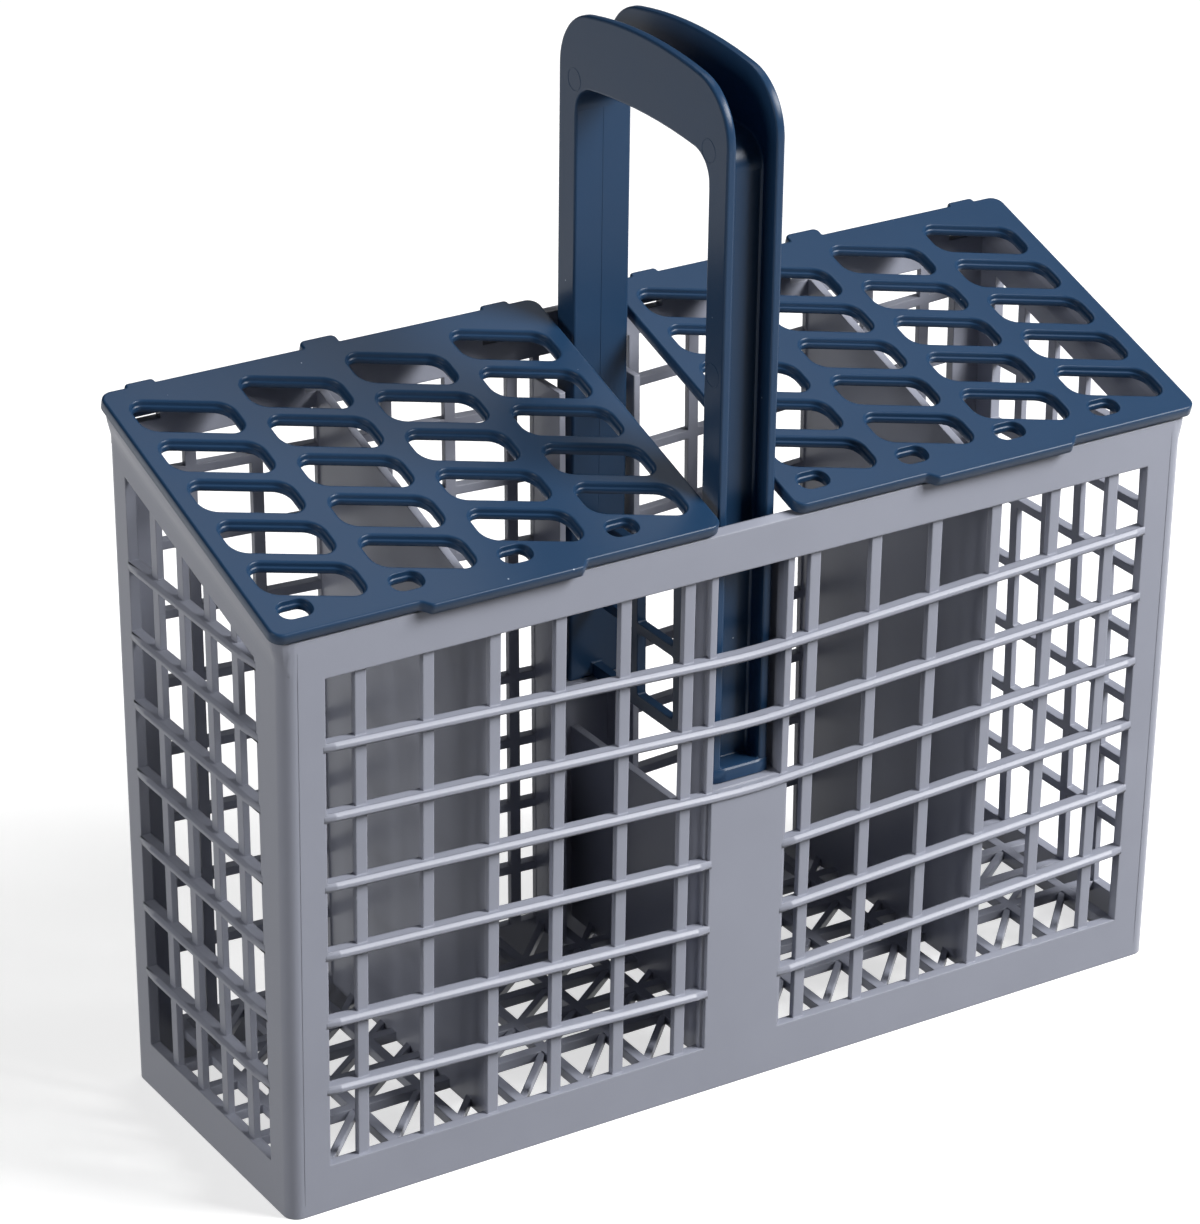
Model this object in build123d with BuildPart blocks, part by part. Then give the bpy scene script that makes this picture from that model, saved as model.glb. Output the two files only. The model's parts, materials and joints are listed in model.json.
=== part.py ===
from build123d import *
import os
from math import cos, hypot, radians, sin, tan

os.makedirs("parts", exist_ok=True)

# Frame: X runs along the basket, Y from front to back, Z up from the table, all in millimetres.

# Tub
base_length = 242.0
base_depth = 78.4
wall = 2.6
front_height = 146.2
front_lean = 1.7
rim_slope = 18.1
corner_radius = 3.5
flare_height = 8.0
flare_out = 1.8

# Grid windows in the four walls
sill = 12.0
end_post = 10.4
front_band = 10.2
back_band = 9.6
side_post = 8.8
side_band = 12.0

# Bars of the grids
bar_pitch = 16.9
bar_width = 2.8
row_pitch = 17.45
first_row = 31.8
row_height = 2.2
row_dip = 5.5
row_bend = 180.0
row_proud = 1.0
inner_root = 1.0
side_bar_pitch = 12.75
columns_each_side = 6
front_rows = 6
side_rows = 7
back_rows = 8
side_columns = 4

# Pockets that hold the handle's posts
pocket_half = 10.3
pocket_bar = 1.8
pocket_wall = 1.6
panel_height = 78.0
shelf_height = 80.3
shelf_thickness = 3.0
front_pocket_depth = 8.5
back_pocket_depth = 12.0
pocket_drop = 5.0

# Floor ribs and inner walls
floor_thickness = 2.4
floor_rib = 2.6
floor_columns_each_side = 7
divider_column = 4
divider_thickness = 2.0
divider_drop = 6.0
partition_height = 62.5

# Hinges: rods across notches in the back wall's top edge
rod_radius = 1.25
rod_running = 0.06
hinge_drop = 0.5
hinge_shoulder = 1.0
notch_side = 0.4
notch_below = 0.5
knuckle_spacing = 46.0
end_knuckle_width = 7.4
end_knuckle_radius = 2.6
end_knuckle_heel = 2.7
middle_knuckle_width = 9.4
middle_knuckle_radius = 3.1
middle_knuckle_heel = 4.8
clip_mouth = 1.9

# Lids
lid_gap = 0.5
lid_thickness = 3.0
lid_inner = 9.8
lid_end_overhang = 2.3
lid_front_overhang = 0.5
lid_back = 1.4
lid_corner = 3.0
tab_half = 21.0
tab_out = 2.0
slot_columns = 4
slot_rows = 5
slot_margin = 4.6
slot_web = 5.2
row_web = 3.4
slot_back_margin = 4.1
slot_front_margin = 4.4
short_slot_width = 8.0
short_slot_height = 5.9
slot_skew = 20.5
slot_sharp_radius = 3.0
slot_blunt_radius = 5.0
short_slot_radius = 2.4

# Handle
handle_lean = 1.3
handle_half = 35.6
handle_top = 252.2
handle_rise = 4.6
handle_width = 15.0
handle_corner = 14.5
post_depth = 7.6
grip_band = 18.1
grip_rise = 2.2
grip_corner = 7.0
flange = 2.3
web = 2.4
foot_plate = 3.6
lattice_width = 2.5
lattice_bar = 2.6
lattice_foot_bar = 3.6
lattice_pitch = 20.0
lattice_rail = 4.5
lattice_rail_offset = 10.1

# Levels and faces that follow from the sizes above
half_length = base_length / 2
lean = tan(radians(front_lean))
slope = tan(radians(rim_slope))
slope_cos = cos(radians(rim_slope))
slope_sin = sin(radians(rim_slope))
hinge_lift = rod_radius + hinge_drop
lid_run = base_depth + lean * front_height - wall / 2 + lid_front_overhang
lid_front = -lid_run / slope_cos + hinge_lift * slope

# The tub stands a little back of the origin, which lies under the middle of the whole with its lids.
lid_reach = slope_sin * (hinge_lift + lid_thickness) - slope_cos * (lid_front - tab_out)
heel_reach = slope_cos * middle_knuckle_heel - slope_sin * hinge_lift
hinge_y = (lid_reach - max(heel_reach, middle_knuckle_radius)) / 2
back_face = hinge_y + wall / 2
front_foot = back_face - base_depth
tub_middle = (front_foot + back_face) / 2
front_top = front_foot - lean * front_height
hinge_z = front_height + slope * (hinge_y - front_top) + (lid_gap - hinge_lift) / slope_cos
floor_bottom = sill - floor_thickness
window_half = half_length - end_post


def front_y(height):
    """Y of the front wall's outer face at a height."""
    return front_foot - lean * height


def rim_z(depth):
    """Height of the tub's sloping rim at a depth."""
    return front_height + slope * (depth - front_top)


def side_window(side):
    """Corners of an end wall's window, with its top edge along the rim."""
    front = front_foot + side_post
    back = back_face - side_post
    return (
        (side * front, sill),
        (side * back, sill),
        (side * back, rim_z(back) - side_band),
        (side * front, rim_z(front) - side_band),
    )


def eased(corners):
    """Outline through (x, y, radius) corners, each rounding replaced by two flats through its ends and middle."""
    outline = []
    for index, (x, y, radius) in enumerate(corners):
        here = Vector(x, y)
        to_last = (Vector(*corners[index - 1][:2]) - here).normalized()
        to_next = (Vector(*corners[(index + 1) % len(corners)][:2]) - here).normalized()
        half_angle = radians(to_last.get_angle(to_next)) / 2
        reach = radius / tan(half_angle)
        inward = (to_last + to_next).normalized()
        outline.append(here + to_last * reach)
        outline.append(here + inward * (radius / sin(half_angle) - radius))
        outline.append(here + to_next * reach)
    return [(point.X, point.Y) for point in outline]


def handle_y(offset, height):
    """Y of a point on the leaning handle, at an offset from its middle and a height."""
    return tub_middle + offset - tan(radians(handle_lean)) * height


def handle_arch(half, bottom, crown, rise, corner, mode=Mode.ADD):
    """Leaning U outline of the handle in the open sketch: straight sides, an arched top, rounded shoulders."""
    spring = crown - rise
    with BuildSketch(mode=Mode.PRIVATE) as arch:
        with BuildLine():
            Polyline(
                (handle_y(-half, spring), spring),
                (handle_y(-half, bottom), bottom),
                (handle_y(half, bottom), bottom),
                (handle_y(half, spring), spring),
            )
            ThreePointArc(
                (handle_y(-half, spring), spring),
                (handle_y(0, crown), crown),
                (handle_y(half, spring), spring),
            )
        make_face()
        fillet(arch.vertices().group_by(Axis.Y)[-1], radius=corner)
    add(arch.sketch, mode=mode)


row_levels = [first_row + row_pitch * k for k in range(back_rows)]
column_places = [bar_pitch * k for k in range(-columns_each_side, columns_each_side + 1) if k != 0]
side_column_places = [tub_middle + side_bar_pitch * (k - (side_columns - 1) / 2) for k in range(side_columns)]
floor_column_places = [bar_pitch * (k + 0.5) for k in range(-floor_columns_each_side, floor_columns_each_side)]
lid_length = half_length + lid_end_overhang - lid_inner
lid_middle = lid_inner + lid_length / 2
knuckles = [
    (-knuckle_spacing, end_knuckle_width, end_knuckle_radius, end_knuckle_heel),
    (0.0, middle_knuckle_width, middle_knuckle_radius, middle_knuckle_heel),
    (knuckle_spacing, end_knuckle_width, end_knuckle_radius, end_knuckle_heel),
]

front_plane = Plane(origin=(0, front_foot, 0), x_dir=(1, 0, 0), z_dir=(0, -1, -lean))
back_plane = Plane(origin=(0, back_face, 0), x_dir=(-1, 0, 0), z_dir=(0, 1, 0))
left_plane = Plane(origin=(-half_length, 0, 0), x_dir=(0, -1, 0), z_dir=(-1, 0, 0))
right_plane = Plane(origin=(half_length, 0, 0), x_dir=(0, 1, 0), z_dir=(1, 0, 0))

# One long bar of the front and back grids: it falls in a straight line from both ends to a soft bend at the middle.
with BuildSketch() as dipped_bar:
    with BuildLine():
        Polyline(
            (-window_half - 1, row_height / 2),
            (0, row_height / 2 - row_dip),
            (window_half + 1, row_height / 2),
            (window_half + 1, -row_height / 2),
            (0, -row_height / 2 - row_dip),
            (-window_half - 1, -row_height / 2),
            close=True,
        )
    make_face()
    fillet(dipped_bar.vertices().filter_by_position(Axis.X, -0.1, 0.1), radius=row_bend)

# The tub: a hollow shell with grid walls, dividers, pockets and hinge rods, moulded in one.
with BuildPart() as basket_body:
    with BuildSketch(Plane.YZ):
        Polygon(
            (front_foot, 0),
            (back_face, 0),
            (back_face, rim_z(back_face)),
            (front_top, front_height),
            align=None,
        )
    extrude(amount=half_length, both=True)
    fillet(
        basket_body.edges().filter_by(lambda edge: abs(edge.tangent_at(0.5).Z) > 0.98),
        radius=corner_radius,
    )

    # The end walls curve outwards below the rim, along the whole slope.
    with BuildSketch(Plane.XZ.offset(-front_top)):
        for side in (-1, 1):
            with BuildLine():
                foot = (side * half_length, front_height - flare_height)
                middle = (side * (half_length + flare_out / 2), front_height - flare_height / 2)
                head = (side * (half_length + flare_out), front_height)
                lower = TangentArc(foot, middle, tangent=(0, 1))
                upper = TangentArc(middle, head, tangent=lower % 1)
                Polyline(
                    head,
                    (side * (half_length - wall), front_height),
                    (side * (half_length - wall), front_height - flare_height),
                    foot,
                )
            make_face()
    extrude(amount=(back_face - front_top) / slope_cos, dir=(0, slope_cos, slope_sin))

    # Hollow, open above and below
    with BuildSketch(Plane.YZ):
        Polygon(
            (front_y(-1) + wall, -1),
            (back_face - wall, -1),
            (back_face - wall, rim_z(back_face) + 20),
            (front_y(front_height + 20) + wall, front_height + 20),
            align=None,
        )
    extrude(amount=half_length - wall, both=True, mode=Mode.SUBTRACT)
    with BuildSketch(Plane.XZ.offset(-front_top - wall)):
        for side in (-1, 1):
            with BuildLine():
                foot = (side * (half_length - wall), front_height - flare_height + slope * wall)
                middle = (side * (half_length - wall + flare_out / 2), front_height - flare_height / 2 + slope * wall)
                head = (side * (half_length - wall + flare_out), front_height + slope * wall)
                lower = TangentArc(foot, middle, tangent=(0, 1))
                upper = TangentArc(middle, head, tangent=lower % 1)
                Polyline(
                    head,
                    (side * (half_length - wall + flare_out), front_height + 5),
                    (side * (half_length - wall - 2), front_height + 5),
                    (side * (half_length - wall - 2), front_height - flare_height + slope * wall),
                    foot,
                )
            make_face()
    extrude(
        amount=(back_face - wall - front_top - wall) / slope_cos,
        dir=(0, slope_cos, slope_sin),
        mode=Mode.SUBTRACT,
    )
    with Locations((0, back_face - wall / 2, hinge_z + hinge_shoulder + 10)):
        Box(base_length + 20, wall + 2, 20, mode=Mode.SUBTRACT)

    # Grids of the front and back walls: the gaps are cut between upright bars, dipped bars and the pocket's panel,
    # then the upright bars are set back a little, so that the dipped bars stand proud of them.
    for plane, top, rows in (
        (front_plane, front_height - front_band, front_rows),
        (back_plane, hinge_z - back_band, back_rows),
    ):
        with BuildSketch(plane):
            with Locations((0, (sill + top) / 2)):
                Rectangle(2 * window_half, top - sill)
            with Locations([(0, level) for level in row_levels[:rows]]):
                add(dipped_bar.sketch, mode=Mode.SUBTRACT)
            with Locations([(place, (sill + top) / 2) for place in column_places]):
                Rectangle(bar_width, top, mode=Mode.SUBTRACT)
            with Locations((-pocket_half, (sill + top) / 2), (pocket_half, (sill + top) / 2)):
                Rectangle(pocket_bar, top, mode=Mode.SUBTRACT)
            with Locations((0, panel_height / 2)):
                Rectangle(2 * pocket_half, panel_height, mode=Mode.SUBTRACT)
        extrude(amount=-wall - 1, mode=Mode.SUBTRACT, clean=False)
        with BuildSketch(plane):
            with Locations((0, (sill + top) / 2)):
                Rectangle(2 * window_half, top - sill)
            with Locations([(0, level) for level in row_levels[:rows]]):
                add(dipped_bar.sketch, mode=Mode.SUBTRACT)
            with Locations((0, panel_height / 2)):
                Rectangle(2 * pocket_half, panel_height, mode=Mode.SUBTRACT)
        extrude(amount=-row_proud, mode=Mode.SUBTRACT, clean=False)

    # Grids of the end walls, with the top of the window along the slope
    for plane, side in ((left_plane, -1), (right_plane, 1)):
        with BuildSketch(plane):
            Polygon(*side_window(side), align=None)
            with Locations([(0, level) for level in row_levels[:side_rows]]):
                Rectangle(base_depth, row_height, mode=Mode.SUBTRACT)
            with Locations([(side * place, rim_z(0) / 2) for place in side_column_places]):
                Rectangle(bar_width, rim_z(back_face), mode=Mode.SUBTRACT)
        extrude(amount=-wall - 1, mode=Mode.SUBTRACT, clean=False)
        with BuildSketch(plane):
            Polygon(*side_window(side), align=None)
            with Locations([(0, level) for level in row_levels[:side_rows]]):
                Rectangle(base_depth, row_height, mode=Mode.SUBTRACT)
        extrude(amount=-row_proud, mode=Mode.SUBTRACT, clean=False)

    # Floor ribs
    with BuildSketch(Plane.XY.offset(floor_bottom)):
        with Locations([(place, tub_middle) for place in floor_column_places]):
            Rectangle(floor_rib, base_depth - wall)
        with Locations([(0, place) for place in side_column_places]):
            Rectangle(base_length - wall, floor_rib)
    extrude(amount=floor_thickness, clean=False)

    # Full-height dividers and the low partition in the middle
    divider_place = bar_pitch * divider_column
    with BuildSketch(Plane.YZ.offset(-divider_place), Plane.YZ.offset(divider_place)):
        Polygon(
            (front_y(floor_bottom) + wall - inner_root, floor_bottom),
            (back_face - wall + inner_root, floor_bottom),
            (back_face - wall + inner_root, rim_z(back_face - wall + inner_root) - divider_drop),
            (front_y(front_height) + wall - inner_root, front_height - divider_drop),
            align=None,
        )
    extrude(amount=divider_thickness / 2, both=True, clean=False)
    with BuildSketch(Plane.YZ):
        Polygon(
            (front_y(floor_bottom) + wall - inner_root, floor_bottom),
            (back_face - wall + inner_root, floor_bottom),
            (back_face - wall + inner_root, partition_height),
            (front_y(partition_height) + wall - inner_root, partition_height),
            align=None,
        )
    extrude(amount=divider_thickness / 2, both=True, clean=False)

    # Pocket walls beside the panels, and the shelves that the handle's feet stand on
    with BuildSketch(Plane.YZ.offset(-pocket_half), Plane.YZ.offset(pocket_half)):
        Polygon(
            (front_y(floor_bottom) + wall - inner_root, floor_bottom),
            (front_y(floor_bottom) + wall + front_pocket_depth, floor_bottom),
            (front_y(front_height) + wall + front_pocket_depth, front_height - pocket_drop),
            (front_y(front_height) + wall - inner_root, front_height - pocket_drop),
            align=None,
        )
        Polygon(
            (back_face - wall + inner_root, floor_bottom),
            (back_face - wall - back_pocket_depth, floor_bottom),
            (back_face - wall - back_pocket_depth, hinge_z - back_band - pocket_drop),
            (back_face - wall + inner_root, hinge_z - back_band - pocket_drop),
            align=None,
        )
    extrude(amount=pocket_wall / 2, both=True, clean=False)
    with BuildSketch(Plane.YZ):
        Polygon(
            (front_y(shelf_height) + wall - inner_root, shelf_height - shelf_thickness),
            (front_y(shelf_height) + wall + front_pocket_depth, shelf_height - shelf_thickness),
            (front_y(shelf_height) + wall + front_pocket_depth, shelf_height),
            (front_y(shelf_height) + wall - inner_root, shelf_height),
            align=None,
        )
        Polygon(
            (back_face - wall + inner_root, shelf_height - shelf_thickness),
            (back_face - wall - back_pocket_depth, shelf_height - shelf_thickness),
            (back_face - wall - back_pocket_depth, shelf_height),
            (back_face - wall + inner_root, shelf_height),
            align=None,
        )
    extrude(amount=pocket_half, both=True, clean=False)

    # Hinge notches in the back wall's top edge, deep enough for the clip's heel to swing in, each crossed by a rod
    with BuildSketch(back_plane):
        for lid_place in (-lid_middle, lid_middle):
            for offset_x, width, radius, heel in knuckles:
                swing = max(radius, hypot(heel, hinge_lift)) + notch_below
                with Locations((-lid_place - offset_x, hinge_z - swing + 10)):
                    Rectangle(width + 2 * notch_side, 20)
    extrude(amount=-wall - 1, mode=Mode.SUBTRACT, clean=False)
    with Locations([
        Location((lid_place + offset_x, hinge_y, hinge_z), (0, 90, 0))
        for lid_place in (-lid_middle, lid_middle)
        for offset_x, width, radius, heel in knuckles
    ]):
        Cylinder(rod_radius, middle_knuckle_width + 2 * notch_side + 1)

basket_body.part.label = "basket_body"
export_step(basket_body.part, "parts/basket_body.step")

# One slanted slot of a lid: upright sides, and long edges that fall towards the front on the way to the right.
slot_pitch = (lid_length - 2 * slot_margin + slot_web) / slot_columns
slot_width = slot_pitch - slot_web
slot_drop = slot_width * tan(radians(slot_skew))
slot_row_pitch = (lid_back - slot_back_margin - lid_front - slot_front_margin - short_slot_height) / slot_rows
slot_height = slot_row_pitch - row_web
slot_outline = eased([
    (0, 0, slot_sharp_radius),
    (slot_width, -slot_drop, slot_blunt_radius),
    (slot_width, -slot_drop - slot_height, slot_sharp_radius),
    (0, -slot_height, slot_blunt_radius),
])
short_slot_outline = eased([
    (0, short_slot_height, short_slot_radius),
    (short_slot_width, short_slot_height, short_slot_radius),
    (short_slot_width, 0, short_slot_radius),
    (0, 0, short_slot_radius),
])

# The two lids are the same moulding: a slotted plate with a pull tab in front and three clips behind.
for label, lid_place in (("left_lid", -lid_middle), ("right_lid", lid_middle)):
    hinge_plane = Plane(
        origin=(lid_place, hinge_y, hinge_z),
        x_dir=(1, 0, 0),
        z_dir=(0, -slope_sin, slope_cos),
    )
    lid_plane = hinge_plane.offset(hinge_lift)
    with BuildPart() as lid:
        with BuildSketch(lid_plane):
            with Locations((0, (lid_front + lid_back) / 2)):
                RectangleRounded(lid_length, lid_back - lid_front, lid_corner)
            Polygon(
                (-tab_half, lid_front + 1),
                (-tab_half, lid_front),
                (-tab_half + tab_out, lid_front - tab_out),
                (tab_half - tab_out, lid_front - tab_out),
                (tab_half, lid_front),
                (tab_half, lid_front + 1),
                align=None,
            )
        extrude(amount=lid_thickness)
        with BuildSketch(lid_plane):
            for column in range(slot_columns):
                left = -lid_length / 2 + slot_margin + column * slot_pitch
                for row in range(slot_rows):
                    with Locations((left, lid_back - slot_back_margin - row * slot_row_pitch)):
                        Polygon(*slot_outline, align=None)
                with Locations((left, lid_front + slot_front_margin)):
                    Polygon(*short_slot_outline, align=None)
        extrude(amount=lid_thickness, mode=Mode.SUBTRACT)
        for offset_x, width, radius, heel in knuckles:
            clip_plane = Plane(
                origin=(lid_place + offset_x, hinge_y, hinge_z),
                x_dir=(0, slope_cos, slope_sin),
                z_dir=(1, 0, 0),
            )
            with BuildSketch(clip_plane):
                Circle(radius)
                with Locations(((lid_back - radius) / 2, (hinge_lift + 1) / 2)):
                    Rectangle(lid_back + radius, hinge_lift + 1)
                with Locations((heel / 2, hinge_lift + lid_thickness / 2)):
                    Rectangle(heel, lid_thickness)
                Circle(rod_radius + rod_running, mode=Mode.SUBTRACT)
                with Locations((0, -radius)):
                    Rectangle(clip_mouth, 2 * radius, mode=Mode.SUBTRACT)
            extrude(amount=width / 2, both=True)
    lid.part.label = label
    export_step(lid.part, f"parts/{label}.step")

# The handle: an inverted U of channel section, open outwards, with a lattice between its posts.
# It leans forwards, its top is a shallow arch, and its feet are level, so that they stand flat on the shelves.
foot_level = shelf_height
post_inner = handle_half - post_depth
grip_level = handle_top - grip_band
with BuildPart() as handle:
    with BuildSketch(Plane.YZ):
        handle_arch(handle_half, foot_level, handle_top, handle_rise, handle_corner)
    extrude(amount=handle_width / 2, both=True)
    with BuildSketch(Plane.YZ):
        handle_arch(post_inner, foot_level - 10, grip_level, grip_rise, grip_corner)
    extrude(amount=handle_width, both=True, mode=Mode.SUBTRACT)

    # Channel between the flanges, closed at the foot
    with BuildSketch(Plane.YZ):
        with Locations((tub_middle, (foot_level + foot_plate + handle_top + 5) / 2)):
            Rectangle(4 * handle_half, handle_top + 5 - foot_level - foot_plate)
        handle_arch(post_inner + web, foot_level - 10, grip_level + web, grip_rise, grip_corner, Mode.SUBTRACT)
    extrude(amount=handle_width / 2 - flange, both=True, mode=Mode.SUBTRACT)

    # Lattice between the posts
    with BuildSketch(Plane.YZ):
        for level, height in (
            (foot_level, lattice_foot_bar),
            (foot_level + lattice_pitch, lattice_bar),
            (foot_level + 2 * lattice_pitch, lattice_bar),
        ):
            with Locations((handle_y(0, level), level + height / 2)):
                Rectangle(2 * post_inner + web, height)
        rail_height = 2 * lattice_pitch + lattice_bar
        rail_middle = foot_level + rail_height / 2
        with Locations(
            (handle_y(-lattice_rail_offset, rail_middle), rail_middle),
            (handle_y(lattice_rail_offset, rail_middle), rail_middle),
        ):
            Rectangle(lattice_rail, rail_height)
    extrude(amount=lattice_width / 2, both=True)

handle.part.label = "handle"
export_step(handle.part, "parts/handle.step")
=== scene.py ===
import json

import bmesh
import bpy
import numpy as np
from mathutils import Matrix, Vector
from mathutils.geometry import delaunay_2d_cdt


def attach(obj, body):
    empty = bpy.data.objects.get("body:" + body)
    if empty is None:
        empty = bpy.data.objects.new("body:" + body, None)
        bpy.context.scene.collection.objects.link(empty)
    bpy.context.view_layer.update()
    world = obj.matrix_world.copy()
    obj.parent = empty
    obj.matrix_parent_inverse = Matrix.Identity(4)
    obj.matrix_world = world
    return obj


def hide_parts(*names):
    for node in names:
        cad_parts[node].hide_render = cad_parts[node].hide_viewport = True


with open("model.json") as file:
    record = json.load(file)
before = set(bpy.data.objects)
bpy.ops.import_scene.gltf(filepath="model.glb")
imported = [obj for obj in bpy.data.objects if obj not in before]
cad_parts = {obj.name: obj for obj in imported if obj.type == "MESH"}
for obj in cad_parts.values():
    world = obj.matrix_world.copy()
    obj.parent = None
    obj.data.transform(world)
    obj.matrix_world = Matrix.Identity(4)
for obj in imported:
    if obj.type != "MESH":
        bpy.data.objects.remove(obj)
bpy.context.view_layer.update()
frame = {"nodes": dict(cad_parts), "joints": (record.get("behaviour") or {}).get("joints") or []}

# The tub: one injection moulding of grey polypropylene with grid walls, dividers, pockets and hinge rods.
# Its edges come out of the mould slightly rounded, and its faces have a satin finish with a fine grain.
# Under the rim the end walls lean out in a flare, which runs on round the corner posts and fades there.


def moulded_plastic(name, specular, cloud_scale, tones, roughness):
    """A satin moulding: a soft cloud of noise moves the colour between two tones and the roughness between
    two values, and a much finer noise raises the surface into a grain."""
    material = bpy.data.materials.new(name)
    material.use_nodes = True
    nodes, links = material.node_tree.nodes, material.node_tree.links
    surface = nodes["Principled BSDF"]
    surface.inputs["Specular IOR Level"].default_value = specular
    where = nodes.new("ShaderNodeTexCoord")
    where.name = "where"
    cloud = nodes.new("ShaderNodeTexNoise")
    cloud.inputs["Scale"].default_value = cloud_scale
    cloud.inputs["Detail"].default_value = 4.0
    links.new(where.outputs["Object"], cloud.inputs["Vector"])
    tone = nodes.new("ShaderNodeMix")
    tone.name = "tone"
    tone.data_type = "RGBA"
    tone.inputs[6].default_value = (*tones[0], 1)
    tone.inputs[7].default_value = (*tones[1], 1)
    links.new(cloud.outputs["Fac"], tone.inputs["Factor"])
    links.new(tone.outputs[2], surface.inputs["Base Color"])
    gloss = nodes.new("ShaderNodeMapRange")
    gloss.inputs["To Min"].default_value = roughness[0]
    gloss.inputs["To Max"].default_value = roughness[1]
    links.new(cloud.outputs["Fac"], gloss.inputs["Value"])
    links.new(gloss.outputs["Result"], surface.inputs["Roughness"])
    grain = nodes.new("ShaderNodeTexNoise")
    grain.inputs["Scale"].default_value = 2600.0
    grain.inputs["Detail"].default_value = 2.0
    links.new(where.outputs["Object"], grain.inputs["Vector"])
    relief = nodes.new("ShaderNodeBump")
    relief.name = "relief"
    relief.inputs["Strength"].default_value = 0.10
    relief.inputs["Distance"].default_value = 0.00012
    links.new(grain.outputs["Fac"], relief.inputs["Height"])
    links.new(relief.outputs["Normal"], surface.inputs["Normal"])
    return material


grey_tones = ((0.270, 0.283, 0.340), (0.324, 0.339, 0.404))
grey = moulded_plastic("grey_polypropylene", 0.35, 38.0, grey_tones, (0.30, 0.42))
soft_edges = grey.node_tree.nodes.new("ShaderNodeBevel")
soft_edges.samples = 4
soft_edges.inputs["Radius"].default_value = 0.0005
relief = grey.node_tree.nodes["relief"]
grey.node_tree.links.new(soft_edges.outputs["Normal"], relief.inputs["Normal"])
front_foot, front_slope = -36.72, np.tan(np.radians(1.7))
back_face, tub_middle = 41.68, 2.48
half_length, corner_radius = 121.0, 3.5
wall_thickness = 2.6
front_height, rim_slope = 146.2, np.tan(np.radians(18.1))
front_top = front_foot - front_slope * front_height
flare_height, flare_out, flare_kept = 8.0, 1.8, 0.65
corner_cuts = 4
post_margin, post_side_margin = 0.12, 0.06
flare_margin, foot_margin, foot_band = 0.05, 0.1, 0.3
rim_share, clear_of_post = 0.9, 0.02


def above_flare_foot(points):
    """Height above the line along which the end walls begin to lean out, which follows the rim's slope."""
    return points[:, 2] - front_height - rim_slope * (points[:, 1] - front_top) + flare_height


def flared(height):
    """How far an end wall leans out at a height above the flare's foot: an arc that leaves the wall upright,
    then the same arc turned over, which ends upright at the rim. Each arc's radius is
    (width^2 + rise^2) / (2 width)."""
    rise, width = flare_height / 2, flare_out / 2
    radius = (width**2 + rise**2) / (2 * width)
    lower = radius - np.sqrt(radius**2 - np.clip(height, 0, rise) ** 2)
    upper = radius - np.sqrt(radius**2 - np.clip(flare_height - height, 0, rise) ** 2)
    return np.where(height < rise, lower, flare_out - upper)


def corner_depths(points):
    """For the front and the back corner posts in turn: how far a point lies past the start of the corner's
    rounding along the end wall, and the most that the square end of the flare reaches there."""
    front = front_foot - front_slope * points[:, 2]
    return (
        (front + corner_radius - points[:, 1], front + corner_radius - front_top),
        (points[:, 1] - back_face + corner_radius, np.full(len(points), corner_radius)),
    )


def rounded_flare(points):
    """Draws the flare in and carries it round the corner posts. A square is turned into a disc there: a
    point's place on its square, from one side to the next, becomes its angle, the square's size becomes the
    radius, and the lean fades with the cosine squared of the angle, down to nothing where the wall's inner
    face meets the post. Points already on the post stay, and the others keep their height above the foot."""
    height = above_flare_foot(points)
    lean = np.where(height > 0, flared(height), 0)
    side = np.sign(points[:, 0])
    across = np.abs(points[:, 0]) - half_length + corner_radius
    on_flare = (height > 0) & (np.abs(across - corner_radius - lean) < flare_margin)
    inner_edge = corner_radius - wall_thickness
    last_turn = np.degrees(np.arccos(inner_edge / corner_radius))
    least = (inner_edge / corner_radius) ** 2
    moved = points.copy()
    moved[:, 0] = np.where(on_flare, points[:, 0] - side * (1 - flare_kept) * lean, points[:, 0])
    for (past, reach), towards in zip(corner_depths(points), (-1, 1)):
        a, b = across / (corner_radius + lean), past / reach
        rim = np.maximum(a, b)
        off_post = np.hypot(across, past) - corner_radius
        beside_flare = (across < inner_edge + 0.1) & (off_post < post_side_margin)
        on_post = (np.abs(off_post) < post_margin) & ((height < foot_band) | beside_flare)
        outside = (rim > rim_share) | (off_post > clear_of_post)
        chosen = (height > -foot_margin) & (across > 0) & (past > 0) & outside & ~on_post
        beyond = (1 - a / np.maximum(b, 1e-6)) / (1 - inner_edge / (corner_radius + lean))
        on_end_wall = 45 * b / np.maximum(a, 1e-6)
        turn = np.radians(np.where(a > b, on_end_wall, 45 + (last_turn - 45) * beyond))
        fade = np.clip((np.cos(turn) ** 2 - least) / (1 - least), 0, 1)
        radius = rim * (corner_radius + flare_kept * lean * fade)
        round_x = side * (half_length - corner_radius + radius * np.cos(turn))
        round_y = points[:, 1] + towards * (radius * np.sin(turn) - past)
        round_z = points[:, 2] + rim_slope * (round_y - points[:, 1])
        rounded = np.stack([round_x, round_y, round_z], axis=1)
        moved = np.where(chosen[:, None], rounded, moved)
    return moved


def vertex_points(mesh):
    """The mesh's points in millimetres, one row each."""
    points = np.empty(len(mesh.vertices) * 3)
    mesh.vertices.foreach_get("co", points)
    return 1000 * points.reshape(-1, 3)


def on_posts(points, margin):
    """Which points lie on the rounded corner posts, or closer to them than the margin."""
    beside = np.abs(points[:, 0]) > half_length - corner_radius - margin
    return beside & np.any([past > -margin for past, reach in corner_depths(points)], axis=0)


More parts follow.
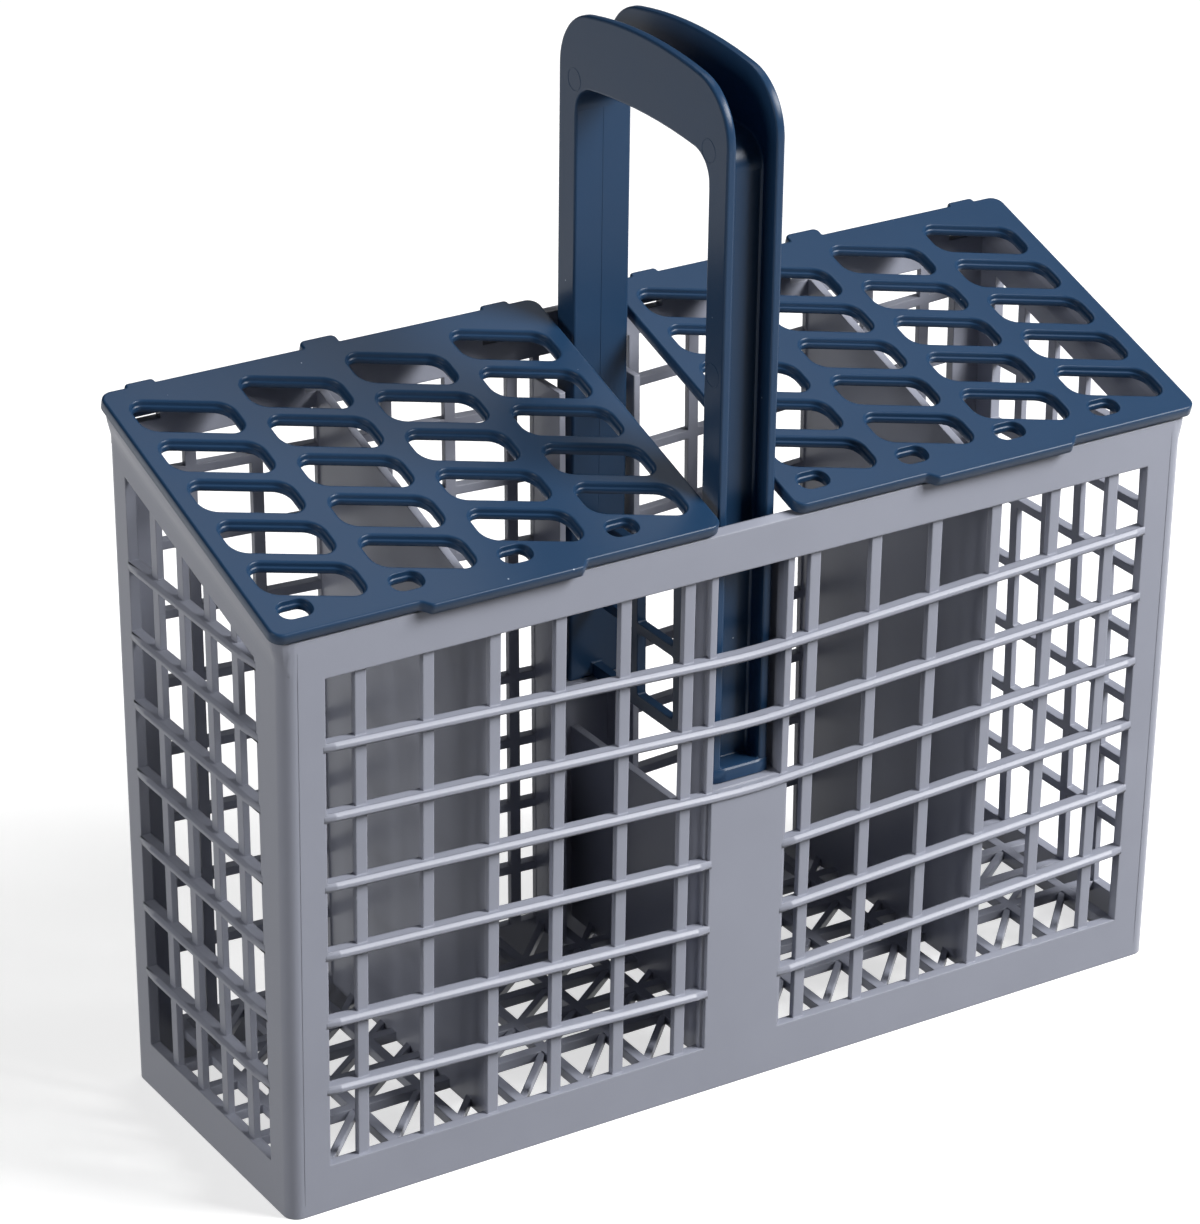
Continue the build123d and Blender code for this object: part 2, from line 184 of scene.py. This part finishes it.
# The copy of the tub is merged, cut across its corners so that they can bend, and bent
shape = bmesh.new()
shape.from_mesh(frame["nodes"]["basket_body"].data)
bmesh.ops.remove_doubles(shape, verts=shape.verts, dist=0.00001)
cut_steps = corner_radius * np.arange(corner_cuts) / corner_cuts
post_start = half_length - corner_radius
cuts = [((side * (post_start + step), 0, 0), (1, 0, 0)) for side in (-1, 1) for step in cut_steps]
cuts += [((0, front_top + corner_radius - step, 0), (0, 1, 0)) for step in cut_steps]
cuts += [((0, back_face - corner_radius + step, 0), (0, 1, 0)) for step in cut_steps]
least_x = post_start / 1000
least_z = (front_height - flare_height - 1) / 1000
for place, normal in cuts:
    faces = [
        face
        for face in shape.faces
        if any(abs(vert.co.x) > least_x and vert.co.z > least_z for vert in face.verts)
    ]
    geometry = set(faces)
    geometry |= {edge for face in faces for edge in face.edges}
    geometry |= {vert for face in faces for vert in face.verts}
    plane = Vector(place) / 1000
    bmesh.ops.bisect_plane(shape, geom=list(geometry), dist=1e-6, plane_co=plane, plane_no=normal)
tub_mesh = bpy.data.meshes.new("tub")
shape.to_mesh(tub_mesh)
shape.free()
tub_points = rounded_flare(vertex_points(tub_mesh))
tub_mesh.vertices.foreach_set("co", (tub_points / 1000).ravel())

# Points of the bent corners that now fall together become one
shape = bmesh.new()
shape.from_mesh(tub_mesh)
shape.verts.ensure_lookup_table()
bent = np.flatnonzero(on_posts(tub_points, 0.1) & (above_flare_foot(tub_points) > -0.5))
bmesh.ops.remove_doubles(shape, verts=[shape.verts[index] for index in bent], dist=0.00001)
shape.to_mesh(tub_mesh)
shape.free()
tub_mesh.shade_flat()
tub_mesh.materials.append(grey)
tub = bpy.data.objects.new("tub", tub_mesh)
bpy.context.scene.collection.objects.link(tub)
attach(tub, "basket")
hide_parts("basket_body")

# The long bars of the grid walls, moulded with the tub: they stand a little proud of the frame and have
# sloping faces, so that they leave the mould easily. They dip towards the middle in front and behind, stop at
# the panels and run level at the ends.
window_half = 110.6
bar_levels = 31.8 + 17.45 * np.arange(8)
bar_dip, bar_bend = 5.5, 180.0
bar_lap, bar_taper = 0.6, 1.2
front_rows, end_rows = 6, 7
panel_half, panel_rows = 10.3, 3
end_window = (-27.92, 32.88)
bar_profile = [
    (-0.3, 1.08),
    (0.0, 1.08),
    (0.62, 0.5),
    (0.75, 0.3),
    (0.75, -0.45),
    (0.62, -0.6),
    (0.0, -1.08),
    (-0.3, -1.08),
]


def carried(path, outward, across, profile, taper):
    """Carries a closed profile of (depth, height) pairs along a path of points: depth counts along the
    outward direction, height along the across direction, and the depth shrinks to nothing over the taper at
    both ends."""
    along = np.concatenate([[0], np.cumsum(np.linalg.norm(np.diff(path, axis=0), axis=1))])
    full = np.clip(np.minimum(along, along[-1] - along) / taper, 0, 1)
    depth, height = np.array(profile, float).T
    depth = np.where(depth > 0, full[:, None] * depth, depth)
    return path[:, None] + depth[..., None] * np.array(outward) + height[:, None] * np.array(across, float)


def ring_faces(rings, count, first):
    """Quads between neighbouring rings of count points, closed round each ring, numbered from first."""
    ring, point = np.meshgrid(np.arange(rings - 1), np.arange(count), indexing="ij")
    after = (point + 1) % count
    here, there = ring * count, (ring + 1) * count
    quads = np.stack([here + point, there + point, there + after, here + after])
    return first + quads.reshape(4, -1).T


def add_piece(name, strips, material, body, sharp=30):
    """One mesh from several strips, each an array of rings of points in millimetres: quads between the rings
    and a face over the first and the last ring. The piece rides on the body."""
    points, faces, first = [], [], 0
    for strip in strips:
        rings, count = strip.shape[:2]
        faces += ring_faces(rings, count, first).tolist()
        faces.append(list(range(first, first + count)))
        faces.append(list(range(first + rings * count - 1, first + rings * count - count - 1, -1)))
        points.append(strip.reshape(-1, 3))
        first += rings * count
    mesh = bpy.data.meshes.new(name)
    mesh.from_pydata((np.concatenate(points) / 1000).tolist(), [], faces)
    mesh.shade_smooth()
    mesh.set_sharp_from_angle(angle=np.radians(sharp))
    mesh.materials.append(material)
    piece = bpy.data.objects.new(name, mesh)
    bpy.context.scene.collection.objects.link(piece)
    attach(piece, body)
    return piece


def dipped(x, level):
    """Height of a dipped bar: a straight fall from both ends, joined at the middle by a parabola that has the
    bend's radius at its lowest point."""
    fall = bar_dip / (window_half + 1)
    reach = bar_bend * fall
    middle = x**2 / (2 * bar_bend) + reach * fall / 2
    return level - bar_dip + np.where(np.abs(x) < reach, middle, fall * np.abs(x))


bars = []
whole = np.linspace(-window_half - bar_lap, window_half + bar_lap, 81)
right_part = np.linspace(panel_half - bar_lap, window_half + bar_lap, 31)
for row, level in enumerate(bar_levels):
    for x in (-right_part[::-1], right_part) if row < panel_rows else (whole,):
        z = dipped(x, level)
        if row < front_rows:
            front = np.stack([x, front_foot - front_slope * z, z], axis=1)
            bars.append(carried(front, (0, -1, 0), (0, 0, 1), bar_profile, bar_taper)[:, ::-1])
        back = np.stack([x, np.full_like(x, back_face), z], axis=1)
        bars.append(carried(back, (0, 1, 0), (0, 0, 1), bar_profile, bar_taper))
    if row < end_rows:
        y = np.linspace(end_window[0] - bar_lap, end_window[1] + bar_lap, 11)
        for side in (-1, 1):
            end = np.stack([np.full_like(y, side * half_length), y, np.full_like(y, level)], axis=1)
            bar = carried(end, (side, 0, 0), (0, 0, 1), bar_profile, bar_taper)
            bars.append(bar if side < 0 else bar[:, ::-1])
bar_fronts = add_piece("bar_fronts", bars, grey, "basket", 12)

# Ribs across the floor's cells, moulded with the tub in the same grey plastic: each cell between the square
# ribs is halved by a thin slanting one, which keeps handles and tines from falling through.
rib_pitch, cross_pitch = 16.9, 12.75
floor_front, floor_back = -34.6, 39.2
rib_columns = rib_pitch * (np.arange(-7, 7) + 0.5)
cross_rows = tub_middle + cross_pitch * (np.arange(4) - 1.5)
rib_rows = np.concatenate([[floor_front], cross_rows, [floor_back]])
rib_low, rib_high, rib_half = 9.7, 11.7, 0.8
left, near = [grid.ravel() for grid in np.meshgrid(rib_columns[:-1], rib_rows[:-1])]
right, far = [grid.ravel() for grid in np.meshgrid(rib_columns[1:], rib_rows[1:])]
run = np.stack([right - left, far - near], axis=1)
offset = rib_half * np.stack([-run[:, 1], run[:, 0]], axis=1) / np.linalg.norm(run, axis=1, keepdims=True)
begin, finish_at = np.stack([left, near], axis=1), np.stack([right, far], axis=1)
outline = np.stack([begin - offset, finish_at - offset, finish_at + offset, begin + offset], axis=1)
slants = np.stack(
    [
        np.concatenate([outline, np.full(outline.shape[:2] + (1,), level)], axis=2)
        for level in (rib_high, rib_low)
    ],
    axis=1,
)
floor_slants = add_piece("floor_slants", list(slants), grey, "basket")

# Fine mould lines on the front wall's end posts: thin ridges of the tub's own plastic, left where two
# halves of the mould met.
line_profile = [(-0.1, 0.12), (0.07, 0.05), (0.07, -0.05), (-0.1, -0.12)]
line_place, line_low, line_high = 117.2, 3.0, 144.0
heights = np.linspace(line_low, line_high, 21)
lines = []
for x in (-line_place, line_place):
    post = np.stack([np.full_like(heights, x), front_foot - front_slope * heights, heights], axis=1)
    lines.append(carried(post, (0, -1, 0), (1, 0, 0), line_profile, 1.0))
mould_lines = add_piece("mould_lines", lines, grey, "basket")

# The lids: the same plate twice, moulded in navy polypropylene with slanted slots, clipped to the tub's
# hinge rods. Every edge of the plate is rolled over, and half-way down each slot the mould's two halves leave
# a small ledge.
slope = np.radians(18.1)
hinge_lift = 1.75
plate_thickness = 3.0
plate_half = 56.75
plate_back, plate_front = 1.4, -85.63
tab_half, tab_out = 21.0, 2.0
end_heel, middle_heel = 2.7, 4.1
clip_spacing = 46.0
end_clip_width, middle_clip_width = 7.4, 9.4
end_clip_radius, middle_clip_radius, clip_bore = 2.6, 3.1, 1.31
slot_columns, slot_rows = 4, 5
slot_margin, slot_web, row_web = 4.6, 5.2, 3.4
slot_back_margin, slot_front_margin = 4.1, 4.4
short_slot_width, short_slot_height = 8.0, 5.6
short_slot_web = 3.7
edge_roll, short_slot_roll = 0.6, 0.3
flat_rim = 0.15


def rounded_outline(corners, steps):
    """Closed outline through (x, y, radius) corners given anticlockwise. Each corner is an arc that touches
    both of its sides: its centre lies on the bisector at radius / sin(half the angle), and the normal turns
    evenly from one side's to the other's. A corner that turns clockwise has its centre outside. Returns
    points and outward normals."""
    corner = np.array(corners, float)
    here, radius = corner[:, :2], corner[:, 2]
    into = here - np.roll(here, 1, axis=0)
    out = np.roll(here, -1, axis=0) - here
    into /= np.linalg.norm(into, axis=1, keepdims=True)
    out /= np.linalg.norm(out, axis=1, keepdims=True)
    turn = np.arctan2(into[:, 0] * out[:, 1] - into[:, 1] * out[:, 0], (into * out).sum(axis=1))
    bisector = out - into
    bisector /= np.linalg.norm(bisector, axis=1, keepdims=True)
    centre = here + bisector * (radius / np.cos(turn / 2))[:, None]
    angle = np.arctan2(-into[:, 0], into[:, 1])[:, None] + turn[:, None] * np.linspace(0, 1, steps + 1)
    normal = np.stack([np.cos(angle), np.sin(angle)], axis=2)
    points = centre[:, None] + (np.sign(turn) * radius)[:, None, None] * normal
    return points.reshape(-1, 2), normal.reshape(-1, 2)


def edge_rings(points, normals, profile):
    """Carries an edge profile of (distance along the normal, height) pairs round an outline: one ring a
    pair."""
    distance, height = np.array(profile, float).T
    flat = points[None] + distance[:, None, None] * normals[None]
    return np.concatenate([flat, np.broadcast_to(height[:, None, None], flat.shape[:2] + (1,))], axis=2)


def rolled_edge(roll, below):
    """Edge profile from the top face down: a flat rim, a quarter circle of radius roll, then the pairs below
    it, and the same rim on the under side. Distances count from the outline into the plate."""
    quarter = np.radians(np.linspace(0, 90, 5))
    over = np.stack([roll - roll * np.sin(quarter), plate_thickness - roll + roll * np.cos(quarter)], axis=1)
    rim = roll + flat_rim
    return np.concatenate([[(rim, plate_thickness)], over, below, [(rim, 0)]])


ledge = [(0, 1.85), (-0.08, 1.72), (-0.34, 1.62), (-0.42, 1.5), (-0.42, 0.45), (-0.3, 0.12)]
outer_profile = rolled_edge(edge_roll, [(0, 0.4), (0.4, 0)]) * (-1, 1)
long_slot_profile = rolled_edge(edge_roll, ledge)
short_slot_profile = rolled_edge(short_slot_roll, ledge)
heels = [
    corner
    for place, half, reach, roundness in (
        (clip_spacing, end_clip_width / 2, end_heel, 1.0),
        (0.0, middle_clip_width / 2, middle_heel, 1.5),
        (-clip_spacing, end_clip_width / 2, end_heel, 1.0),
    )
    for corner in (
        (place + half, plate_back, 0.2),
        (place + half, reach, roundness),
        (place - half, reach, roundness),
        (place - half, plate_back, 0.2),
    )
]
plate_outline = rounded_outline(
    [
        (-plate_half, plate_front, 3.0),
        (-tab_half, plate_front, 1.5),
        (-tab_half + tab_out, plate_front - tab_out, 1.5),
        (tab_half - tab_out, plate_front - tab_out, 1.5),
        (tab_half, plate_front, 1.5),
        (plate_half, plate_front, 3.0),
        (plate_half, plate_back, 3.0),
        *heels,
        (-plate_half, plate_back, 3.0),
    ],
    6,
)
slot_pitch = (2 * plate_half - 2 * slot_margin + slot_web) / slot_columns
slot_width = slot_pitch - slot_web
slot_drop = slot_width * np.tan(np.radians(20.5))
slot_run = plate_back - slot_back_margin - plate_front - slot_front_margin
row_pitch = (slot_run - short_slot_height - short_slot_web + row_web) / slot_rows
slot_height = row_pitch - row_web
slot_points, slot_normals = rounded_outline(
    [
        (0, -slot_height, 5.0),
        (slot_width, -slot_drop - slot_height, 3.0),
        (slot_width, -slot_drop, 5.0),
        (0, 0, 3.0),
    ],
    8,
)
short_points, short_normals = rounded_outline(
    [
        (0, 0, 2.6),
        (short_slot_width, 0, 2.6),
        (short_slot_width, short_slot_height, 2.6),
        (0, short_slot_height, 2.6),
    ],
    8,
)
column_left = -plate_half + slot_margin + slot_pitch * np.arange(slot_columns)
row_back = plate_back - slot_back_margin - row_pitch * np.arange(slot_rows)
holes = [
    (slot_points + (left, back), slot_normals, long_slot_profile) for left in column_left for back in row_back
] + [
    (short_points + (left, plate_front + slot_front_margin), short_normals, short_slot_profile)
    for left in column_left
]

# Rings of the outer edge and of every slot, then the flat faces between them on top and below
outer_count = len(plate_outline[0])
blocks = [edge_rings(*plate_outline, outer_profile)]
lid_faces = [ring_faces(len(outer_profile), outer_count, 0)]
top_rings = [np.arange(outer_count)]
low_rings = [np.arange(outer_count) + (len(outer_profile) - 1) * outer_count]
first = len(outer_profile) * outer_count
for hole_points, hole_normals, profile in holes:
    count = len(hole_points)
    blocks.append(edge_rings(hole_points, hole_normals, profile))
    lid_faces.append(ring_faces(len(profile), count, first)[:, ::-1])
    top_rings.append(first + np.arange(count))
    low_rings.append(first + np.arange(count) + (len(profile) - 1) * count)
    first += len(profile) * count
plate_points = np.concatenate([block.reshape(-1, 3) for block in blocks])
top_ids, low_ids = np.concatenate(top_rings), np.concatenate(low_rings)
owner = np.repeat(np.arange(len(top_rings)), [len(ring) for ring in top_rings])
ring_start = np.cumsum([0] + [len(ring) for ring in top_rings])[owner]
ring_length = np.array([len(ring) for ring in top_rings])[owner]
place_in_ring = np.arange(len(owner)) - ring_start
borders = np.stack([np.arange(len(owner)), ring_start + (place_in_ring + 1) % ring_length], axis=1)
flat_points = [Vector(point) for point in plate_points[top_ids, :2]]
filled = delaunay_2d_cdt(flat_points, borders.tolist(), [], 1, 1e-7)
source = np.array([origin[0] for origin in filled[3]])
triangles = source[np.array(filled[2])]
inside_slot = (owner[triangles] == owner[triangles[:, :1]]).all(axis=1) & (owner[triangles[:, 0]] > 0)
triangles = triangles[~inside_slot]
lid_faces += [top_ids[triangles], low_ids[triangles[:, ::-1]]]
plate_points[:, 2] += hinge_lift

# The three clips under the back edge: an open ring of square section about each hinge rod
bend = np.radians(np.linspace(-48, 228, 33))
clip_points, clip_faces = [], []
for place, width, radius in (
    (-clip_spacing, end_clip_width, end_clip_radius),
    (0.0, middle_clip_width, middle_clip_radius),
    (clip_spacing, end_clip_width, end_clip_radius),
):
    half = width / 2
    section = np.array([(radius, -half), (radius, half), (clip_bore, half), (clip_bore, -half)])
    ring = np.stack(
        [
            np.broadcast_to(place + section[:, 1], (len(bend), 4)),
            np.cos(bend)[:, None] * section[:, 0],
            np.sin(bend)[:, None] * section[:, 0],
        ],
        axis=2,
    )
    start = len(plate_points) + sum(len(points) for points in clip_points)
    clip_faces.append(ring_faces(len(bend), 4, start))
    stop = start + 4 * len(bend)
    clip_faces.append(np.array([range(start, start + 4), range(stop - 1, stop - 5, -1)]))
    clip_points.append(ring.reshape(-1, 3))
lid_points = np.concatenate([plate_points, *clip_points])
lid_faces = [face for block in lid_faces + clip_faces for face in block.tolist()]

# Navy plastic, with a few pale specks of dust scattered over it
navy_tones = ((0.0125, 0.038, 0.087), (0.0165, 0.048, 0.107))
navy = moulded_plastic("navy_polypropylene", 0.2, 45.0, navy_tones, (0.26, 0.38))
nodes, links = navy.node_tree.nodes, navy.node_tree.links
dust = nodes.new("ShaderNodeTexVoronoi")
dust.inputs["Scale"].default_value = 110.0
links.new(nodes["where"].outputs["Object"], dust.inputs["Vector"])
speck = nodes.new("ShaderNodeMapRange")
speck.inputs["From Min"].default_value = 0.026
speck.inputs["From Max"].default_value = 0.016
links.new(dust.outputs["Distance"], speck.inputs["Value"])
dusty = nodes.new("ShaderNodeMix")
dusty.data_type = "RGBA"
dusty.inputs[7].default_value = (0.30, 0.36, 0.45, 1)
links.new(speck.outputs["Result"], dusty.inputs["Factor"])
links.new(nodes["tone"].outputs[2], dusty.inputs[6])
links.new(dusty.outputs[2], nodes["Principled BSDF"].inputs["Base Color"])

# Each lid is the plate tilted to the rim's slope about its own hinge
for joint in frame["joints"]:
    body = joint["child"]
    hinge = np.array(joint["pos_m"])
    along, up = lid_points[:, 1], lid_points[:, 2]
    backward = along * np.cos(slope) - up * np.sin(slope)
    upward = along * np.sin(slope) + up * np.cos(slope)
    turned = np.stack([lid_points[:, 0], backward, upward], axis=1)
    mesh = bpy.data.meshes.new(f"{body}_plate")
    mesh.from_pydata((hinge + turned / 1000).tolist(), [], lid_faces)
    mesh.shade_smooth()
    mesh.set_sharp_from_angle(angle=np.radians(50))
    mesh.materials.append(navy)
    lid = bpy.data.objects.new(f"{body}_plate", mesh)
    bpy.context.scene.collection.objects.link(lid)
    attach(lid, body)
    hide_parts(body)

# The handle: one navy polypropylene moulding, an inverted U of channel section with a small lattice between
# its posts. It is pushed down into the tub's pockets, and its edges are slightly rounded by the mould.
handle = frame["nodes"]["handle"]
handle.data.materials.clear()
handle.data.materials.append(navy)
weld = handle.modifiers.new("weld", "WELD")
weld.merge_threshold = 0.00001
rounding = handle.modifiers.new("rounding", "BEVEL")
rounding.width = 0.0006
rounding.segments = 3
rounding.limit_method = "ANGLE"
rounding.angle_limit = np.radians(40)

# Small marks of the mould on the handle, in its own navy plastic: rings of ejector pins on its left side, a
# parting line down the inner faces of both posts, and a lip along the front foot.
handle_half, post_inner, handle_side = 35.6, 28.0, 7.5
foot_height = 80.3
pin_radius = 2.7
seam_low, seam_high = 124.0, 228.0
handle_slope = np.tan(np.radians(1.3))
turn = np.radians(np.linspace(0, 360, 49))
ring_profile = [(-0.1, 0.16), (0.06, 0.06), (0.06, -0.06), (-0.1, -0.16)]
marks = []
for y, z in ((-30.6, 233.6), (26.0, 233.6), (-33.0, 181.6)):
    spoke = np.stack([np.zeros_like(turn), np.cos(turn), np.sin(turn)], axis=1)
    centre = np.array([-handle_side, y, z])
    depth, height = np.array(ring_profile).T
    ring = centre + (pin_radius + height)[:, None] * spoke[:, None] + depth[:, None] * np.array([-1.0, 0, 0])
    marks.append(ring[:, ::-1])
heights = np.linspace(seam_low, seam_high, 21)
for side in (-1, 1):
    post_face = tub_middle + side * post_inner - handle_slope * heights
    seam = np.stack([np.zeros_like(heights), post_face, heights], axis=1)
    strip = carried(seam, (0, -side, 0), (1, 0, 0), line_profile, 1.0)
    marks.append(strip if side > 0 else strip[:, ::-1])
across_foot = np.linspace(-handle_side, handle_side, 9)
foot_front = tub_middle - handle_half - handle_slope * foot_height
level = np.full_like(across_foot, foot_height + 0.1)
lip = np.stack([across_foot, np.full_like(across_foot, foot_front), level], axis=1)
lip_profile = [(-0.4, 3.5), (0.3, 3.4), (0.7, 3.0), (0.7, 0.3), (0.4, 0.0), (-0.4, 0.0)]
marks.append(carried(lip, (0, -1, 0), (0, 0, 1), lip_profile, 0.6)[:, ::-1])
handle_marks = add_piece("handle_marks", marks, navy, "basket")

# The table: a wide white surface under the basket. It shows white and keeps the basket's shadow, and throws
# little light back up at the plastic.
table_half = 6
floor_mesh = bpy.data.meshes.new("table")
table_corners = [(x * table_half, y * table_half, 0) for x, y in ((-1, -1), (1, -1), (1, 1), (-1, 1))]
floor_mesh.from_pydata(table_corners, [], [(0, 1, 2, 3)])
table = bpy.data.objects.new("table", floor_mesh)
bpy.context.scene.collection.objects.link(table)
white = bpy.data.materials.new("white_table")
white.use_nodes = True
nodes, links = white.node_tree.nodes, white.node_tree.links
surface = nodes["Principled BSDF"]
rays = nodes.new("ShaderNodeLightPath")
seen = nodes.new("ShaderNodeMath")
seen.operation = "MAXIMUM"
links.new(rays.outputs["Is Camera Ray"], seen.inputs[0])
links.new(rays.outputs["Is Glossy Ray"], seen.inputs[1])
seen_through = nodes.new("ShaderNodeMath")
seen_through.operation = "MAXIMUM"
links.new(seen.outputs["Value"], seen_through.inputs[0])
links.new(rays.outputs["Is Transmission Ray"], seen_through.inputs[1])
paint = nodes.new("ShaderNodeMix")
paint.data_type = "RGBA"
paint.inputs[6].default_value = (0.05, 0.05, 0.05, 1)
paint.inputs[7].default_value = (0.60, 0.60, 0.60, 1)
links.new(seen_through.outputs["Value"], paint.inputs["Factor"])
links.new(paint.outputs[2], surface.inputs["Base Color"])
glow = nodes.new("ShaderNodeMath")
glow.operation = "MULTIPLY"
glow.inputs[1].default_value = 0.66
links.new(seen_through.outputs["Value"], glow.inputs[0])
links.new(glow.outputs["Value"], surface.inputs["Emission Strength"])
surface.inputs["Emission Color"].default_value = (1, 1, 1, 1)
surface.inputs["Roughness"].default_value = 0.9
surface.inputs["Specular IOR Level"].default_value = 0.0
floor_mesh.materials.append(white)

# Soft studio light: a dim room, a wide lamp from the front right, a low one from the left and one overhead
# behind, all turned to the middle of the basket.
world = bpy.data.worlds.new("room")
bpy.context.scene.world = world
world.use_nodes = True
world.node_tree.nodes["Background"].inputs["Color"].default_value = (1, 1, 1, 1)
world.node_tree.nodes["Background"].inputs["Strength"].default_value = 0.05
lit_point = Vector((0, 0, 0.1))
for name, spot, size, power in (
    ("front_right", (1.05, -0.95, 1.15), 0.8, 52),
    ("left", (-1.55, -0.3, 0.6), 0.6, 9.5),
    ("overhead", (0.55, 0.5, 1.5), 0.7, 3.5),
):
    lamp = bpy.data.lights.new(name, "AREA")
    lamp.shape = "SQUARE"
    lamp.size = size
    lamp.energy = power
    holder = bpy.data.objects.new(name, lamp)
    holder.location = spot
    holder.rotation_euler = (lit_point - Vector(spot)).to_track_quat("-Z", "Y").to_euler()
    bpy.context.scene.collection.objects.link(holder)

# The camera stands in front of the basket's left corner and above the lids, with a long lens. Its place was
# worked out from the tub's edges, and the colours are shown as they are written.
lens = bpy.data.cameras.new("camera")
lens.lens = 139.5
lens.sensor_width = 36.0
camera = bpy.data.objects.new("camera", lens)
camera.location = (-0.53795, -0.85356, 0.5805)
aim = Vector((-0.01522, 0.00208, 0.1115))
camera.rotation_euler = (aim - camera.location).to_track_quat("-Z", "Y").to_euler()
bpy.context.scene.collection.objects.link(camera)
bpy.context.scene.camera = camera
bpy.context.scene.view_settings.view_transform = "Standard"
